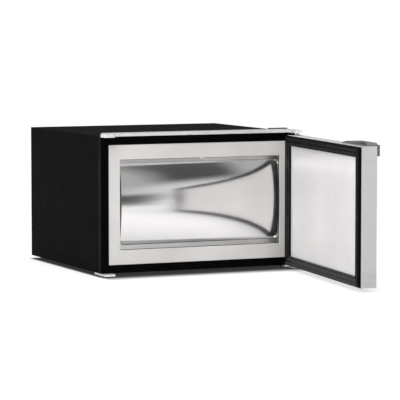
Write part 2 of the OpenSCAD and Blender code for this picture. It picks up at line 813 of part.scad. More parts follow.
module fan_frame() color("#171718") translate([fan_x, fan_y, fan_z]) {
  difference() {
    span([-fan_side / 2, 0, -fan_side / 2], [fan_side / 2, fan_t, fan_side / 2]);
    translate([0, fan_t + 1, 0]) rotate([90, 0, 0]) cylinder(r = fan_bore, h = fan_t + 2, $fn = 64);
    for (x = [-1, 1], z = [-1, 1])
      translate([x * (fan_side / 2 - fan_edge), fan_t + 1, z * (fan_side / 2 - fan_edge)])
        rotate([90, 0, 0]) cylinder(r = fan_screw_r, h = fan_t + 2, $fn = small_fn);
  }
  difference() {
    union() {
      translate([0, fan_t, 0]) rotate([90, 0, 0]) cylinder(r = hub_r, h = fan_motor_h, $fn = round_fn);
      for (a = [45 : 90 : 315]) rotate([0, a, 0])
        span([0, fan_t - fan_arm_t, -fan_arm_half], [fan_bore + 1, fan_t, fan_arm_half]);
    }
    translate([0, fan_t + 1, 0]) rotate([90, 0, 0])
      cylinder(r = fan_shaft_r, h = fan_motor_h + 2, $fn = small_fn);
  }
  span([-fan_foot_half, 2, -fan_z + sheet_t], [fan_foot_half, fan_t - 2, -fan_side / 2]);
}

module fan_shaft() color("#9a9c9f")
  translate([fan_x, fan_y + fan_t, fan_z]) rotate([90, 0, 0])
    cylinder(r = fan_shaft_r, h = fan_t - 3, $fn = small_fn);

module fan_rotor() color("#1d1d1f") translate([fan_x, fan_y, fan_z]) difference() {
  union() {
    translate([0, fan_t - rotor_back, 0]) rotate([90, 0, 0])
      cylinder(r = hub_r, h = rotor_hub_h, $fn = round_fn);
    intersection() {
      translate([0, fan_t - rotor_back, 0]) rotate([90, 0, 0])
        cylinder(r = fan_bore - rotor_tip_gap, h = rotor_h, $fn = round_fn);
      for (i = [0 : blade_count - 1]) rotate([0, i * 360 / blade_count, 0])
        translate([hub_r - blade_root, blade_mid, 0]) rotate([blade_tilt, 0, 0])
          translate([0, -blade_t / 2, -blade_l / 2]) cube([fan_bore, blade_t, blade_l]);
    }
  }
  translate([0, fan_t + 1, 0]) rotate([90, 0, 0])
    cylinder(r = fan_shaft_r + run_fit, h = fan_t + 2, $fn = small_fn);
}

module filter_drier() color("#b5703d") translate([drier_x, drier_y, drier_z]) {
  cylinder(r1 = pipe_r, r2 = drier_r, h = drier_cone, $fn = small_fn);
  translate([0, 0, drier_cone]) cylinder(r = drier_r, h = drier_l, $fn = small_fn);
  translate([0, 0, drier_cone + drier_l])
    cylinder(r1 = drier_r, r2 = pipe_r, h = drier_cone, $fn = small_fn);
}

module refrigerant_pipes() color("#b5703d") {
  // compressor discharge to the condenser's upper rear tube
  hot_x = comp_x + hot_pipe_in;
  comp_top = comp_z + comp_h;
  drier_top = drier_z + 2 * drier_cone + drier_l;
  pipe([[hot_x, comp_y, comp_top], [hot_x, comp_y, hot_pipe_z], [hot_pipe_x, comp_y, hot_pipe_z],
    [hot_pipe_x, cond_rows[1], hot_pipe_z], [hot_pipe_x, cond_rows[1], cond_levels[3]],
    [cond_end_x0, cond_rows[1], cond_levels[3]]], pipe_r);
  // condenser outlet to the filter drier
  pipe([[cond_end_x0, cond_rows[0], cond_levels[3]], [drier_bend_x, cond_rows[0], cond_levels[3]],
    [drier_bend_x, drier_y, cond_levels[3]], [drier_bend_x, drier_y, drier_low_z],
    [drier_x, drier_y, drier_low_z], [drier_x, drier_y, drier_z]], pipe_r - 0.5);
  // filter drier to the evaporator inlet
  pipe([[drier_x, drier_y, drier_top], [drier_x, drier_y, evap_z1],
    [evap_x1, drier_y, evap_z1], [evap_x1, room_y, evap_z1]], pipe_r / 2);
  // evaporator outlet to the compressor
  pipe([[evap_x0, room_y, evap_z0], [evap_x0, cold_pipe_y, evap_z0], [evap_x0, cold_pipe_y, cold_pipe_z],
    [evap_x0, comp_y, cold_pipe_z], [evap_x0, comp_y, comp_top]], pipe_r);
}

module rear_screws() color("#a9abad")
  for (p = rear_screw_at) translate([p[0], panel_y + sheet_t, p[1]]) pan_screw_y(rear_screw_l);

module thermostat_housing() color("#131314") difference() {
  span([knob_x - plate_half_w, rear - stat_deep, knob_z - plate_half_h],
    [knob_x + plate_half_w, rear - panel_peek, knob_z + plate_half_h]);
  translate([knob_x, rear, knob_z]) rotate([90, 0, 0])
    cylinder(r = knob_r + well_gap, h = well_deep, $fn = round_fn);
  translate([knob_x, rear, knob_z]) rotate([90, 0, 0])
    cylinder(r = spindle_r + run_fit, h = spindle_in + spindle_l + 1, $fn = small_fn);
}

module thermostat_spindle() color("#b9bdc2")
  translate([knob_x, rear - spindle_in, knob_z]) rotate([90, 0, 0])
    cylinder(r = spindle_r, h = spindle_l, $fn = small_fn);

module thermostat_knob() color("#232325") translate([knob_x, rear - 1, knob_z]) difference() {
  union() {
    translate([0, -4, 0]) rotate([90, 0, 0]) cylinder(r = knob_r, h = knob_h, $fn = round_fn);
    span([-grip_half, -5, -knob_r + 1], [grip_half, 0, knob_r - 1]);
  }
  translate([0, 1 - spindle_in, 0]) rotate([90, 0, 0]) cylinder(r = spindle_r, h = knob_h, $fn = small_fn);
}

module power_socket() color("#101011") difference() {
  span([socket_x - inlet_half_w, rear - inlet_deep - inlet_wall, socket_z - inlet_half_h],
    [socket_x + inlet_half_w, rear - panel_peek, socket_z + inlet_half_h]);
  span([socket_x - inlet_bore_w, rear - inlet_deep, socket_z - inlet_bore_h],
    [socket_x + inlet_bore_w, rear + 1, socket_z + inlet_bore_h]);
}

module power_contacts() color("#c2a35a") for (x = [socket_x - contact_gap, socket_x + contact_gap])
  span([x - contact_half_t, rear - inlet_deep, socket_z - contact_half_h],
    [x + contact_half_t, rear - inlet_deep + contact_l, socket_z + contact_half_h]);

// ---- door, drawn closed and turned open ----

module door_skin() color("#c9c7c5") on_door() difference() {
  span([door_x0, door_out, door_z0 + cap_h], [door_x1, door_in, door_z1 - cap_h]);
  span([door_x0 + door_skin_t, door_out + door_skin_t, 0], [door_x1 - door_skin_t, door_in + 1, body_h]);
}

// A hollow moulded cap across one end of the door, open towards the foam
module door_cap(z0, z1, shut_z0, shut_z1) {
  difference() {
    span([door_x0, door_out, z0], [door_x1, door_in, z1]);
    difference() {
      span([door_x0 + cap_wall, door_out + cap_wall, shut_z0], [door_x1 - cap_wall, door_in + 1, shut_z1]);
      translate([pin[0], pin[1], -1]) cylinder(r = boss_r, h = body_h, $fn = round_fn);
    }
  }
}

module door_cap_top() color("#c9c7c5") on_door() difference() {
  union() {
    door_cap(door_z1 - cap_h, door_z1, 0, door_z1 - cap_wall);
    span([slot_x0 - 4, slot_y - pocket_half - 2, door_z1 - 10],
      [slot_x1 + 4, slot_y + pocket_half + 2, door_z1 - 1]);
  }
  span([slot_x0 - 2, slot_y - pocket_half, door_z1 - 8], [slot_x1 + 2, slot_y + pocket_half, door_z1 + 1]);
  translate([pin[0], pin[1], door_z1 - bush_deep]) cylinder(r = bush_r, h = bush_deep + 1, $fn = round_fn);
  for (x = latch_screw_x) translate([x, slot_y, door_z1 - 5]) cylinder(r = screw_r, h = 6, $fn = small_fn);
}

module door_cap_bottom() color("#c9c7c5") on_door() difference() {
  door_cap(door_z0, door_z0 + cap_h, door_z0 + cap_wall, body_h);
  translate([pin[0], pin[1], door_z0 - 1]) cylinder(r = bush_r, h = bush_deep + 1, $fn = round_fn);
}

module door_foam() color("#e9dfb0") on_door() difference() {
  span([door_x0 + cap_wall, door_out + cap_wall, door_z0 + cap_wall],
    [door_x1 - cap_wall, door_in - 2, door_z1 - cap_wall]);
  translate([pin[0], pin[1], 0]) cylinder(r = boss_r, h = body_h, $fn = round_fn);
  span([slot_x0 - 4, slot_y - pocket_half - 2, door_z1 - 10],
    [slot_x1 + 4, slot_y + pocket_half + 2, door_z1]);
  for (x = latch_screw_x) translate([x, slot_y, door_z1 - 10])
    cylinder(r = screw_r, h = 12, $fn = small_fn);
}

module door_inner_panel() color("#e6e3e2") on_door() {
  span([door_x0 + cap_wall, door_in - 2, door_z0 + cap_wall],
    [door_x1 - cap_wall, door_in, door_z1 - cap_wall]);
  span([gasket_hole[0], door_in, gasket_hole[2]], [gasket_hole[1], door_in + panel_raise, gasket_hole[3]]);
}

module gasket_retainer() color("#1b1b1c") on_door()
  ring(door_rect, gasket_hole, door_in, door_in + retainer_t);

module door_gasket() color("#2a2a2b") on_door() {
  magnet_rect = grown(gasket_hole, magnet_in);
  difference() {
    ring(grown(door_rect, -gasket_inset), gasket_hole, door_in + retainer_t, gasket_face);
    ring(grown(magnet_rect, magnet_w / 2), grown(magnet_rect, -magnet_w / 2),
      gasket_face - 1 - magnet_t, gasket_face - 1);
  }
}

module gasket_magnets() color("#4a4a4c") on_door() {
  magnet_rect = grown(gasket_hole, magnet_in);
  ring(grown(magnet_rect, magnet_w / 2), grown(magnet_rect, -magnet_w / 2),
    gasket_face - 1 - magnet_t, gasket_face - 1);
}

// Hinge bush lining the door cap, with a thrust flange outside it
module bush(z0, z1, flange_z0, flange_z1) {
  translate([pin[0], pin[1], 0]) difference() {
    union() {
      translate([0, 0, z0]) cylinder(r = bush_r, h = z1 - z0, $fn = round_fn);
      translate([0, 0, flange_z0]) cylinder(r = bush_r + 1.8, h = flange_z1 - flange_z0, $fn = round_fn);
    }
    translate([0, 0, z0 - 2.5]) cylinder(r = pin_r + run_fit, h = z1 - z0 + 5, $fn = round_fn);
  }
}

module bush_top() color("#8d8d8f") on_door()
  bush(door_z1 - bush_deep, door_z1, door_z1, door_z1 + 1.5);

module bush_bottom() color("#8d8d8f") on_door()
  bush(door_z0, door_z0 + bush_deep, 0.1, door_z0);

// ---- latch on the door's upper edge ----

module latch_base() color("#c9c7c5") on_door() difference() {
  span([door_x0, door_out, door_z1], [latch_x1, door_in - 3, door_z1 + latch_base_t]);
  span([slot_x0, slot_y - slot_half, door_z1 - 1], [slot_x1, slot_y + slot_half, door_z1 + 4]);
  for (x = latch_screw_x) translate([x, slot_y, door_z1 + latch_base_t]) csk_hole(latch_screw_l);
}

module latch_screws() color("#77797b") on_door()
  for (x = latch_screw_x) translate([x, slot_y, door_z1 + latch_base_t]) csk_screw(latch_screw_l);

module latch_slide() color("#5c5c5e") on_door() {
  span([door_x0, latch_back_y, latch_z], [latch_x1, latch_inner_y, latch_z + latch_t]);
  span([door_x0, latch_back_y, latch_z + latch_t - latch_lip_h],
    [latch_x1, latch_lip_y, latch_z + latch_t]);
  // raised grip with a sloping end, cut back where the keeper passes
  difference() {
    translate([0, latch_inner_y, latch_z + latch_t]) rotate([90, 0, 0])
      linear_extrude(latch_inner_y - latch_back_y) polygon([[grip_x0, 0], [grip_x0 + 4, latch_rise],
        [grip_x1, latch_rise], [latch_x1 - 1, 0]]);
    span([door_x0, grip_notch_y, latch_z + latch_t], [grip_notch_x, front, body_h + 9]);
  }
  // tooth that enters the keeper
  span([tooth_x, latch_inner_y - tooth_w, latch_z],
    [tooth_x + tooth_l, latch_inner_y, latch_z + latch_t + tooth_h]);
  // neck and flange that run in the base's slot
  span([slot_x1 - foot_len - 2, slot_y - 3, door_z1 - 1.5], [slot_x1 - 2, slot_y + 3, latch_z + latch_t]);
  span([slot_x1 - foot_len - 2, slot_y - 5, door_z1 - 3.5], [slot_x1 - 2, slot_y + 5, door_z1 - 0.3]);
}

cabinet_wrap();
base_pan();
rear_panel();
bulkhead();
front_frame();
breaker_flange();
flange_seal();
liner();
liner_clip();
cabinet_foam();
flap_skin();
flap_core();
flap_back();
flap_pins();
flap_bushes();
evaporator_plate();
evaporator_tube();
top_bar();
bar_screws();
hinge_cap();
bottom_hinge();
bottom_bracket();
bracket_screws();
hinge_pin_top();
hinge_pin_bottom();
feet();
compressor();
compressor_base();
compressor_mounts();
compressor_bolts();
terminal_cover();
controller_box();
condenser_fins();
condenser_tube();
condenser_brackets();
fan_frame();
fan_shaft();
fan_rotor();
filter_drier();
refrigerant_pipes();
rear_screws();
thermostat_housing();
thermostat_spindle();
thermostat_knob();
power_socket();
power_contacts();
door_skin();
door_cap_top();
door_cap_bottom();
door_foam();
door_inner_panel();
gasket_retainer();
door_gasket();
gasket_magnets();
bush_top();
bush_bottom();
latch_base();
latch_screws();
latch_slide();
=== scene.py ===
"""Looks for a mini fridge whose side-hinged door stands open."""

import json
import math

import bmesh
import bpy
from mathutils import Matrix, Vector


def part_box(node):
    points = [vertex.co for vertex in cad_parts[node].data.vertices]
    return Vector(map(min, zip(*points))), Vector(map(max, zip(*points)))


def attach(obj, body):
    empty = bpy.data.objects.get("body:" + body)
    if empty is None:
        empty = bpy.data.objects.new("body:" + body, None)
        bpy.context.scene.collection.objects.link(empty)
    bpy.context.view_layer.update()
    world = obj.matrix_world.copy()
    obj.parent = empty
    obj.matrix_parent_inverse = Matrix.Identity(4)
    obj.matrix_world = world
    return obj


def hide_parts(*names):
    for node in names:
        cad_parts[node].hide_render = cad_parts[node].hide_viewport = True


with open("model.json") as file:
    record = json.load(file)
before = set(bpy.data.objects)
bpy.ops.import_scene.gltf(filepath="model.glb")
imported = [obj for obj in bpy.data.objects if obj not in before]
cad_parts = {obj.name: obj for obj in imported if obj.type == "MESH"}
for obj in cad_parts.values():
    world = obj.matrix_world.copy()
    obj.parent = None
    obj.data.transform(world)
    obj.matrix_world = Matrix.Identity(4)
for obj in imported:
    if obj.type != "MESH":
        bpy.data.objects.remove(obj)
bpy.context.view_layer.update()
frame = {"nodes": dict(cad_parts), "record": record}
cad = frame["nodes"]
bodies = frame["record"]["behaviour"]["bodies"]
body_of_node = {n: b for b, members in bodies.items() for n in members}
MM = 0.001


# ---- camera ----

# Metres, degrees below and right of straight ahead, and the lens in mm on a 36 mm sensor
CAMERA_PLACE = (-2.0240, -4.7090, 0.5462)
CAMERA_PITCH = 4.66
CAMERA_YAW = 24.20
CAMERA_LENS = 215.8


def aim_camera():
    data = bpy.data.cameras.new("photo_camera")
    data.lens = CAMERA_LENS
    data.sensor_width = 36.0
    data.clip_start = 0.05
    data.clip_end = 60.0
    cam = bpy.data.objects.new("photo_camera", data)
    cam.location = CAMERA_PLACE
    cam.rotation_euler = (math.radians(90.0 - CAMERA_PITCH), 0.0, math.radians(-CAMERA_YAW))
    bpy.context.scene.collection.objects.link(cam)
    bpy.context.scene.camera = cam


aim_camera()
bpy.context.scene.view_settings.view_transform = "Standard"


# ---- node helpers ----

class Tree:
    """A node tree under construction; a value is a socket or a number."""

    def __init__(self, tree):
        self.tree = tree

    def add(self, kind, **settings):
        node = self.tree.nodes.new(kind)
        for key, value in settings.items():
            setattr(node, key, value)
        return node

    def link(self, a, b):
        self.tree.links.new(a, b)

    def calc(self, operation, a, b=0.0):
        """The result of one Math node."""
        m = self.add("ShaderNodeMath", operation=operation)
        for i, value in enumerate((a, b)):
            if isinstance(value, (int, float)):
                m.inputs[i].default_value = value
            else:
                self.link(value, m.inputs[i])
        return m.outputs["Value"]

    def minus(self, a, b):
        return self.calc("SUBTRACT", a, b)

    def over(self, a, b):
        return self.calc("DIVIDE", a, b)

    def plus(self, total, *values):
        for value in values:
            total = self.calc("ADD", total, value)
        return total

    def times(self, product, *values):
        for value in values:
            product = self.calc("MULTIPLY", product, value)
        return product

    def ranged(self, value, low, high, start, end, interpolation="LINEAR"):
        """Low to high as the value goes from start to end, and level beyond them."""
        m = self.add("ShaderNodeMapRange", interpolation_type=interpolation)
        m.inputs["From Min"].default_value = start
        m.inputs["From Max"].default_value = end
        m.inputs["To Min"].default_value = low
        m.inputs["To Max"].default_value = high
        self.link(value, m.inputs["Value"])
        return m.outputs["Result"]

    def split(self, vector):
        v = self.add("ShaderNodeSeparateXYZ")
        self.link(vector, v.inputs["Vector"])
        return v.outputs["X"], v.outputs["Y"], v.outputs["Z"]


# Noise seldom leaves this range, so tones and gloss are spread over it
NOISE_LOW = 0.3
NOISE_HIGH = 0.7


class Material(Tree):
    """A Principled material under construction, in the object's own coordinates."""

    def __init__(self, name, metallic=0.0, specular=0.5):
        self.mat = bpy.data.materials.new(name)
        self.mat.use_nodes = True
        super().__init__(self.mat.node_tree)
        self.bsdf = self.tree.nodes["Principled BSDF"]
        self.bsdf.inputs["Metallic"].default_value = metallic
        self.bsdf.inputs["Specular IOR Level"].default_value = specular
        self.coords = self.add("ShaderNodeTexCoord").outputs["Object"]
        self.height = None

    def noise(self, scale, detail=3.0, rough=0.55, stretch=(1, 1, 1)):
        where = self.add("ShaderNodeMapping")
        where.inputs["Scale"].default_value = stretch
        self.link(self.coords, where.inputs["Vector"])
        n = self.add("ShaderNodeTexNoise")
        n.inputs["Scale"].default_value = scale
        n.inputs["Detail"].default_value = detail
        n.inputs["Roughness"].default_value = rough
        self.link(where.outputs["Vector"], n.inputs["Vector"])
        return n.outputs["Fac"]

    def spread(self, noise, low, high):
        return self.ranged(noise, low, high, NOISE_LOW, NOISE_HIGH)

    def tones(self, noise, dark, light):
        ramp = self.add("ShaderNodeValToRGB")
        first, last = ramp.color_ramp.elements
        first.position = NOISE_LOW
        first.color = (*dark, 1)
        last.position = NOISE_HIGH
        last.color = (*light, 1)
        self.link(noise, ramp.inputs["Fac"])
        return ramp.outputs["Color"]

    def scaled(self, colour, gain):
        node = self.add("ShaderNodeVectorMath", operation="SCALE")
        self.link(colour, node.inputs[0])
        self.link(gain, node.inputs["Scale"])
        return node.outputs["Vector"]

    def colour(self, socket):
        self.link(socket, self.bsdf.inputs["Base Color"])

    def rough(self, socket):
        self.link(socket, self.bsdf.inputs["Roughness"])

    def bump(self, value, depth):
        """Adds a relief of this depth in metres to the ones before it."""
        b = self.add("ShaderNodeBump")
        b.inputs["Distance"].default_value = depth
        b.inputs["Strength"].default_value = 1.0
        self.link(value, b.inputs["Height"])
        if self.height is not None:
            self.link(self.height, b.inputs["Normal"])
        self.height = b.outputs["Normal"]
        self.link(self.height, self.bsdf.inputs["Normal"])

    def blend(self, share, first, second):
        """Makes the surface show the second shader by this share and the first by the rest."""
        mix = self.add("ShaderNodeMixShader")
        self.link(share, mix.inputs[0])
        self.link(first.outputs[0], mix.inputs[1])
        self.link(second.outputs[0], mix.inputs[2])
        self.link(mix.outputs[0], self.tree.nodes["Material Output"].inputs["Surface"])


# ---- materials ----

# How noise is stretched into streaks that run along x
BRUSHED = (0.06, 1, 1)


def shade(colour, gain):
    return tuple(min(1.0, c * gain) for c in colour)


def moulded(name, colour, low, high, grain=900.0, depth=0.00006, specular=0.5):
    """Moulded plastic or rubber: faint mottling, a fine grain and uneven gloss."""
    m = Material(name, specular=specular)
    m.colour(m.tones(m.noise(9.0, 4.0), shade(colour, 0.93), shade(colour, 1.06)))
    m.rough(m.spread(m.noise(24.3, 5.0, 0.6), low, high))
    m.bump(m.noise(grain, 2.0, 0.6), depth)
    return m.mat


def painted(name, colour, low, high, peel=260.0, depth=0.00005, specular=0.5):
    """Sprayed or powder paint: orange peel, fine grain and slow changes of gloss."""
    m = Material(name, specular=specular)
    m.colour(m.tones(m.noise(6.0, 3.0), shade(colour, 0.95), shade(colour, 1.05)))
    m.rough(m.spread(m.noise(14.0, 6.0, 0.65), low, high))
    m.bump(m.noise(peel, 1.5, 0.4), depth)
    m.bump(m.noise(peel * 6.0, 1.0, 0.5), depth * 0.3)
    return m.mat


def metal(name, colour, low, high, grain=(1, 1, 1), fine=700.0, depth=0.00002, blotch=7.0,
          metallic=1.0):
    """Rolled or brushed metal: streaks along the grain and cloudy gloss."""
    m = Material(name, metallic=metallic)
    m.colour(m.tones(m.noise(blotch, 3.0), shade(colour, 0.95), shade(colour, 1.04)))
    m.rough(m.spread(m.noise(fine * 0.25, 4.0, 0.6, grain), low, high))
    m.bump(m.noise(fine, 3.0, 0.6, grain), depth)
    return m.mat


# The door as it stands at rest: its hinge axis and how far it is open
HINGE_X = 0.212
HINGE_Y = -0.231
DOOR_OPEN = math.radians(82.5)

# The gasket's outer edges and the widths of its four runs, measured along the door and in height
HINGE_EDGE, HINGE_RUN = -0.010, 0.028
FREE_EDGE, FREE_RUN = 0.427, 0.015
TOP_EDGE, TOP_RUN = 0.271, 0.017
LOW_EDGE, LOW_RUN = 0.005, 0.0175
# How many folds run round the gasket, their depth in metres, and the painted shade in their
# grooves as a share of the colour
GASKET_FOLDS = 2
FOLD_DEPTH = 0.0005
FOLD_SHADE = 0.35

# A painted highlight makes the lower run lighter: how much lighter, and how soon it does so past
# the mitred corner
PAINTED_LIGHT_GAIN = 7.0
PAINTED_LIGHT_START = 0.15


def folded_rubber(name, colour, low, high):
    """Door gasket: folded black rubber, painted shade in its folds and a painted highlight on its
    lower run.
    """
    m = Material(name, specular=0.05)
    x, y, z = m.split(m.coords)
    along = m.plus(m.times(m.minus(HINGE_X, x), math.cos(DOOR_OPEN)),
                   m.times(m.minus(HINGE_Y, y), math.sin(DOOR_OPEN)))
    hinge_run = m.over(m.minus(along, HINGE_EDGE), HINGE_RUN)
    free_run = m.over(m.minus(FREE_EDGE, along), FREE_RUN)
    top_run = m.over(m.minus(TOP_EDGE, z), TOP_RUN)
    low_run = m.over(m.minus(z, LOW_EDGE), LOW_RUN)
    others = m.calc("MINIMUM", m.calc("MINIMUM", hinge_run, free_run), top_run)
    across = m.calc("MINIMUM", others, low_run)
    fold = m.calc("SINE", m.times(across, GASKET_FOLDS * math.tau))
    # Painted highlight: the lower run's colour is made lighter for the light that falls on it
    painted_light = m.ranged(m.minus(others, low_run), 1.0, PAINTED_LIGHT_GAIN, 0.0, PAINTED_LIGHT_START)
    # Painted shade: the colour is darkened in the grooves of the folds
    fold_painted_shade = m.ranged(fold, FOLD_SHADE, 1.0, -1.0, -0.1)
    black = m.tones(m.noise(9.0, 4.0), shade(colour, 0.9), shade(colour, 1.1))
    m.colour(m.scaled(black, m.times(painted_light, fold_painted_shade)))
    m.rough(m.spread(m.noise(24.0, 5.0, 0.6), low, high))
    m.bump(fold, FOLD_DEPTH)
    m.bump(m.noise(1400.0, 2.0, 0.6), 0.00006)
    return m.mat


# The middle of the inner flap and about half its size, in x and z, for laying out its relief
FLAP_MIDDLE = (0.0032, 0.1405)
FLAP_HALF = (0.180, 0.084)

# How the pressing leans, in mm at the flap's edge: a tilt, a dish and a twist across it, then
# a tilt, a dish and a sharper rim up it
ACROSS_TILT, ACROSS_DISH, TWIST = 4.59, 4.28, 5.62
UP_TILT, UP_DISH, UP_RIM = -0.64, -4.1, -2.79


def pressed_steel(name, colour, low, high):
    """Polished sheet whose pressing leaves it very slightly saddle-shaped."""
    m = Material(name, metallic=1.0)
    m.colour(m.tones(m.noise(7.0, 3.0), shade(colour, 0.97), shade(colour, 1.02)))
    m.rough(m.spread(m.noise(90.0, 4.0, 0.6, BRUSHED), low, high))
    x, _, z = m.split(m.coords)
    across = m.over(m.minus(x, FLAP_MIDDLE[0]), FLAP_HALF[0])
    up = m.over(m.minus(z, FLAP_MIDDLE[1]), FLAP_HALF[1])
    up2 = m.times(up, up)
    slope = m.plus(ACROSS_TILT, m.times(across, ACROSS_DISH), m.times(up2, TWIST))
    rise = m.plus(m.times(up, UP_TILT), m.times(up2, UP_DISH), m.times(up2, up2, UP_RIM))
    m.bump(m.times(m.plus(m.times(across, slope), rise), MM), 1.0)
    m.bump(m.noise(600.0, 3.0, 0.6, BRUSHED), 0.000003)
    return m.mat


look = {
    "cabinet": painted("cabinet_black_powder", (0.0048, 0.0048, 0.0051), 0.48, 0.56,
                       specular=0.010),
    "rear": painted("rear_black_powder", (0.0085, 0.0085, 0.0090), 0.45, 0.58, specular=0.2),
    "frame": moulded("front_frame_black", (0.0012, 0.0012, 0.0013), 0.40, 0.50, specular=0.03),
    "flange": moulded("flange_light_grey", (0.66, 0.645, 0.63), 0.28, 0.38, depth=0.00003),
    "seal": moulded("seal_black", (0.012, 0.012, 0.012), 0.5, 0.65),
    "liner": metal("liner_stainless", (0.62, 0.615, 0.61), 0.30, 0.40, BRUSHED, 600.0, 0.000006),
    "flap": pressed_steel("flap_polished_steel", (0.86, 0.85, 0.845), 0.10, 0.13),
    "bar": metal("bar_silver", (0.90, 0.90, 0.90), 0.24, 0.32, (0.08, 1, 1), 800.0, 0.00001,
                 metallic=0.55),
    "steel": metal("zinc_steel", (0.52, 0.52, 0.53), 0.28, 0.40),
    "zinc": metal("zinc_sheet", (0.48, 0.49, 0.50), 0.30, 0.48, blotch=30.0),
    "door": painted("door_light_grey", (0.56, 0.545, 0.54), 0.34, 0.42, depth=0.00003),
    "door_cap": moulded("door_cap_light_grey", (0.56, 0.545, 0.54), 0.34, 0.42, depth=0.00003),
    "inner": moulded("inner_panel_pale", (0.82, 0.805, 0.80), 0.30, 0.42, grain=300.0,
                     depth=0.00004),
    "gasket": folded_rubber("gasket_black_rubber", (0.0070, 0.0064, 0.0066), 0.42, 0.54),
    "retainer": moulded("retainer_black", (0.0045, 0.0045, 0.0045), 0.40, 0.52, specular=0.05),
    "latch": moulded("latch_dark_grey", (0.11, 0.11, 0.113), 0.26, 0.36),
    "bush": moulded("bush_grey", (0.30, 0.30, 0.31), 0.35, 0.45),
    "black_plastic": moulded("black_plastic", (0.008, 0.008, 0.009), 0.40, 0.55),
    "rubber": moulded("black_rubber", (0.014, 0.014, 0.014), 0.62, 0.78, grain=700.0,
                      depth=0.0001),
    "foam": moulded("foam_yellow", (0.72, 0.60, 0.30), 0.8, 0.95, grain=450.0, depth=0.0004),
    "aluminium": metal("mill_aluminium", (0.68, 0.69, 0.71), 0.28, 0.42, (1, 0.1, 1)),
    "copper": metal("bare_copper", (0.62, 0.29, 0.17), 0.24, 0.42, blotch=40.0),
    "brass": metal("contact_brass", (0.74, 0.56, 0.27), 0.22, 0.34),
    "compressor": painted("compressor_black", (0.010, 0.010, 0.011), 0.22, 0.36, peel=120.0,
                          depth=0.0001),
    "magnet": moulded("magnet_strip", (0.05, 0.05, 0.05), 0.6, 0.75),
}

look_of_node = {
    "cabinet_wrap": "cabinet", "base_pan": "cabinet", "rear_panel": "rear", "bulkhead": "zinc",
    "front_frame": "frame", "breaker_flange": "flange", "flange_seal": "seal",
    "liner": "liner", "liner_clip": "flange", "cabinet_foam": "foam",
    "evaporator_plate": "aluminium", "evaporator_tube": "aluminium",
    "flap_skin": "flap", "flap_core": "foam", "flap_back": "flange", "flap_pins": "steel",
    "flap_bushes": "bush", "top_bar": "bar", "bar_screws": "steel",
    "hinge_cap": "black_plastic", "bottom_hinge": "bar", "bottom_bracket": "bar",
    "bracket_screws": "steel", "hinge_pin_top": "steel", "hinge_pin_bottom": "steel",
    "feet": "rubber", "compressor": "compressor", "compressor_base": "compressor",
    "compressor_mounts": "rubber", "compressor_bolts": "steel",
    "terminal_cover": "black_plastic", "controller_box": "black_plastic",
    "condenser_fins": "aluminium", "condenser_tube": "copper", "condenser_brackets": "zinc",
    "fan_frame": "black_plastic", "fan_shaft": "steel", "fan_rotor": "black_plastic",
    "filter_drier": "copper", "refrigerant_pipes": "copper", "rear_screws": "steel",
    "thermostat_housing": "black_plastic", "thermostat_spindle": "steel",
    "thermostat_knob": "black_plastic", "power_socket": "black_plastic",
    "power_contacts": "brass", "door_skin": "door", "door_cap_top": "door_cap",
    "door_cap_bottom": "door_cap", "door_foam": "foam", "door_inner_panel": "inner",
    "gasket_retainer": "retainer", "door_gasket": "gasket", "gasket_magnets": "magnet",
    "bush_top": "bush", "bush_bottom": "bush", "latch_base": "door_cap",
    "latch_screws": "steel", "latch_slide": "latch",
}


def dress(obj, node):
    obj.data.materials.clear()
    obj.data.materials.append(look[look_of_node[node]])


for name, obj in cad.items():
    dress(obj, name)


# ---- pieces ----

def adopt(obj, node):
    """Gives a finished piece the look and body of the CAD node it stands for, and hides that
    node.
    """
    dress(obj, node)
    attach(obj, body_of_node[node])
    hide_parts(node)


def new_object(name, mesh):
    obj = bpy.data.objects.new(name, mesh)
    bpy.context.scene.collection.objects.link(obj)
    return obj


def bake_modifiers(obj):
    """Replaces an object's mesh with the result of its modifiers."""
    graph = bpy.context.evaluated_depsgraph_get()
    mesh = bpy.data.meshes.new_from_object(obj.evaluated_get(graph), depsgraph=graph)
    obj.modifiers.clear()
    obj.data = mesh


WELD_DISTANCE = 0.00001
FLAT_ANGLE = math.radians(1.0)
SHARP_ANGLE = math.radians(30.0)
ROUND_SEGMENTS = 3

# Each softened node and how wide its edges are rounded, in mm
edge_round = {
    "cabinet_wrap": 0.5, "front_frame": 1.2, "breaker_flange": 0.8, "top_bar": 0.6,
    "hinge_cap": 1.0, "bottom_bracket": 0.6, "bottom_hinge": 0.6, "door_skin": 0.5,
    "door_cap_top": 0.6, "door_cap_bottom": 0.6, "door_inner_panel": 1.5,
    "door_gasket": 1.2, "gasket_retainer": 0.4, "latch_slide": 0.6, "latch_base": 0.4,
}


def softened(node, width):
    """A CAD node's shape with its sharp edges rounded, standing for that node."""
    mesh = cad[node].data.copy()
    bm = bmesh.new()
    bm.from_mesh(mesh)
    bmesh.ops.remove_doubles(bm, verts=bm.verts, dist=WELD_DISTANCE)
    bmesh.ops.dissolve_limit(bm, angle_limit=FLAT_ANGLE, verts=bm.verts, edges=bm.edges)
    bm.to_mesh(mesh)
    bm.free()
    obj = new_object("soft_" + node, mesh)
    bevel = obj.modifiers.new("round", "BEVEL")
    bevel.width = width
    bevel.segments = ROUND_SEGMENTS
    bevel.limit_method = "ANGLE"
    bevel.angle_limit = SHARP_ANGLE
    bevel.use_clamp_overlap = True
    for poly in mesh.polygons:
        poly.use_smooth = True
    weight = obj.modifiers.new("weight", "WEIGHTED_NORMAL")
    weight.keep_sharp = True
    bake_modifiers(obj)
    adopt(obj, node)


for node, width in edge_round.items():
    softened(node, width * MM)


BOW_RADIUS = 0.300
FACES_FRONT = -0.6


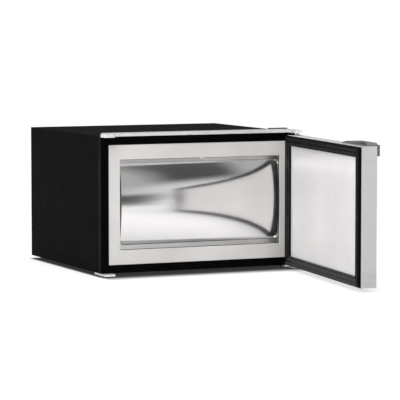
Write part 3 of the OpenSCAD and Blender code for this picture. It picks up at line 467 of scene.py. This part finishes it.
def bowed_flap():
    """The flap's steel skin with its bow's true normals, and duller steel round its rim."""
    mesh = cad["flap_skin"].data.copy()
    obj = new_object("flap_steel", mesh)
    low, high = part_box("flap_skin")
    axis_y = low.y + BOW_RADIUS
    axis_z = (low.z + high.z) / 2
    normals = []
    for poly in mesh.polygons:
        poly.use_smooth = True
        front = poly.normal.y < FACES_FRONT
        for i in poly.vertices:
            v = mesh.vertices[i].co
            bow = Vector((0, v.y - axis_y, v.z - axis_z)).normalized()
            normals.append(bow if front else poly.normal.copy())
    mesh.normals_split_custom_set(normals)
    adopt(obj, "flap_skin")
    mesh.materials.append(look["liner"])
    for poly in mesh.polygons:
        poly.material_index = 0 if poly.normal.y < FACES_FRONT else 1


bowed_flap()


# ---- studio ----

FLOOR_GAP = 0.0002

# The contact shadow painted on the floor: the edges of the dark patch under the cabinet, how
# far the shade reaches past them, the share of that reach that stays dark, and how dark
SHADOW_SIDE, SHADOW_FRONT, SHADOW_BACK = 0.218, 0.204, 0.190
SIDE_REACH, FRONT_REACH, BACK_REACH = 0.014, 0.075, 0.014
SHADOW_CORE = 0.25
SHADOW_TONE = 0.05

# The floor's brightness, and what the camera sees on top of that
FLOOR_GAIN = 0.91
CAMERA_EXTRA = 0.51

# The share of the camera's floor that glows by itself, the glow's strength, and how far out in
# metres the whole floor starts to glow and does so fully
CAMERA_GLOW = 0.65
GLOW_STRENGTH = 1.02
GLOW_START, GLOW_FULL = 0.75, 1.5


def stage_floor():
    """Pale floor that glows far off and to the camera, which alone sees its painted shadow."""
    m = Material("studio_floor")
    seen = m.add("ShaderNodeLightPath").outputs["Is Camera Ray"]
    x, y, _ = m.split(m.coords)

    def past(value, edge, reach):
        return m.over(m.calc("MAXIMUM", m.minus(value, edge), 0.0), reach)

    beside = past(m.calc("ABSOLUTE", x), SHADOW_SIDE, SIDE_REACH)
    before = past(m.times(y, -1.0), SHADOW_FRONT, FRONT_REACH)
    after = past(y, SHADOW_BACK, BACK_REACH)
    out = m.calc("SQRT", m.plus(m.times(beside, beside), m.times(before, before),
                                m.times(after, after)))
    shadow = m.ranged(out, SHADOW_TONE, 1.0, SHADOW_CORE, 1.0)
    dim = m.minus(1.0, m.times(seen, m.minus(1.0, shadow)))
    pale = m.tones(m.noise(3.0, 2.0), (0.90, 0.90, 0.90), (0.91, 0.91, 0.91))
    m.colour(m.scaled(pale, m.times(dim, m.plus(FLOOR_GAIN, m.times(seen, CAMERA_EXTRA)))))
    m.rough(m.spread(m.noise(5.0, 2.0), 0.75, 0.85))
    away = m.calc("SQRT", m.plus(m.times(x, x), m.times(y, y)))
    glow = m.add("ShaderNodeEmission")
    m.link(m.times(dim, GLOW_STRENGTH), glow.inputs["Strength"])
    distant = m.ranged(away, 0.0, 1.0, GLOW_START, GLOW_FULL)
    m.blend(m.calc("MAXIMUM", distant, m.times(seen, CAMERA_GLOW)), m.bsdf, glow)

    mesh = bpy.data.meshes.new("studio_floor")
    bm = bmesh.new()
    bmesh.ops.create_grid(bm, x_segments=8, y_segments=8, size=14.0)
    bm.to_mesh(mesh)
    bm.free()
    floor = new_object("studio_floor", mesh)
    floor.location = (0, 0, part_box("feet")[0].z - FLOOR_GAP)
    floor.data.materials.append(m.mat)


def light(name, place, target, side, power):
    """A square softbox turned to its target."""
    data = bpy.data.lights.new(name, "AREA")
    data.shape = "RECTANGLE"
    data.size = side
    data.size_y = side
    data.energy = power
    lamp = bpy.data.objects.new(name, data)
    lamp.location = place
    lamp.rotation_euler = (Vector(target) - Vector(place)).to_track_quat("-Z", "Y").to_euler()
    bpy.context.scene.collection.objects.link(lamp)


FLAG_DENSITY = 0.94


def black_flag(name, corner, size, fades):
    """A dark card facing the fridge, unseen by the camera.

    Its left, right, bottom and top edges each fade out over their own width.
    """
    width, height = size
    left, right, bottom, top = fades
    m = Material(name)
    m.colour(m.tones(m.noise(60.0, 3.0), (0.05, 0.05, 0.05), (0.07, 0.07, 0.07)))
    m.rough(m.spread(m.noise(90.0), 0.85, 0.95))
    x, _, z = m.split(m.coords)
    share = m.times(m.ranged(x, 0.0, 1.0, 0.0, left),
                    m.ranged(x, 1.0, 0.0, width - right, width),
                    m.ranged(z, 0.0, 1.0, 0.0, bottom),
                    m.ranged(z, 1.0, 0.0, height - top, height), FLAG_DENSITY)
    m.blend(share, m.add("ShaderNodeBsdfTransparent"), m.bsdf)
    mesh = bpy.data.meshes.new(name)
    corners = [(0, 0, 0), (width, 0, 0), (width, 0, height), (0, 0, height)]
    mesh.from_pydata(corners, [], [(0, 1, 2, 3)])
    flag = new_object(name, mesh)
    flag.data.materials.append(m.mat)
    flag.location = corner
    flag.visible_camera = False
    flag.visible_diffuse = False
    flag.visible_shadow = False


# The world's brightness: to the camera, in the grey room, how much the strip adds to it and the
# part of it lost behind the fridge
WHITE = 1.05
ROOM_GREY = 0.46
STRIP_EXTRA = 0.33
BEHIND_LOSS = 0.55

# Where the strip's sides and top and the dimmer part set in, in degrees: from none to full
STRIP_LEFT = (12, 17)
STRIP_RIGHT = (25.2, 23.2)
STRIP_TOP = (21, 14)
BEHIND_TURN = (80, 120)


def studio_sky():
    """White to the camera; elsewhere a grey room, dimmer behind, with a bright upright strip."""
    world = bpy.data.worlds.new("studio")
    world.use_nodes = True
    t = Tree(world.node_tree)

    def fade(value, start, end):
        return t.ranged(value, 0.0, 1.0, start, end, "SMOOTHSTEP")

    x, y, z = t.split(t.add("ShaderNodeTexCoord").outputs["Generated"])
    # Degrees to the right of straight in front of the fridge, and degrees above the horizon
    turn = t.calc("DEGREES", t.calc("ARCTAN2", x, t.times(y, -1.0)))
    climb = t.calc("DEGREES", t.calc("ARCSINE", z))
    strip = t.times(fade(turn, *STRIP_LEFT), fade(turn, *STRIP_RIGHT), fade(climb, *STRIP_TOP))
    behind = fade(t.calc("ABSOLUTE", turn), *BEHIND_TURN)
    room = t.times(t.plus(ROOM_GREY, t.times(strip, STRIP_EXTRA)),
                   t.minus(1.0, t.times(behind, BEHIND_LOSS)))
    seen = t.add("ShaderNodeLightPath").outputs["Is Camera Ray"]
    level = t.plus(t.times(seen, WHITE), t.times(t.minus(1.0, seen), room))
    back = t.tree.nodes["Background"]
    back.inputs["Color"].default_value = (1, 1, 1, 1)
    t.link(level, back.inputs["Strength"])
    bpy.context.scene.world = world


stage_floor()
black_flag("low_flag", (0.080, -0.985, 0.006), (0.176, 0.300), (0.010, 0.045, 0.080, 0.060))
black_flag("high_flag", (0.008, -0.500, 0.285), (0.206, 0.575), (0.065, 0.040, 0.050, 0.240))
studio_sky()
light("key_softbox", (-1.6, -2.2, 2.4), (0, -0.2, 0.1), 1.6, 60)
light("top_softbox", (0.2, 0.2, 2.6), (0, 0, 0.1), 2.0, 48)
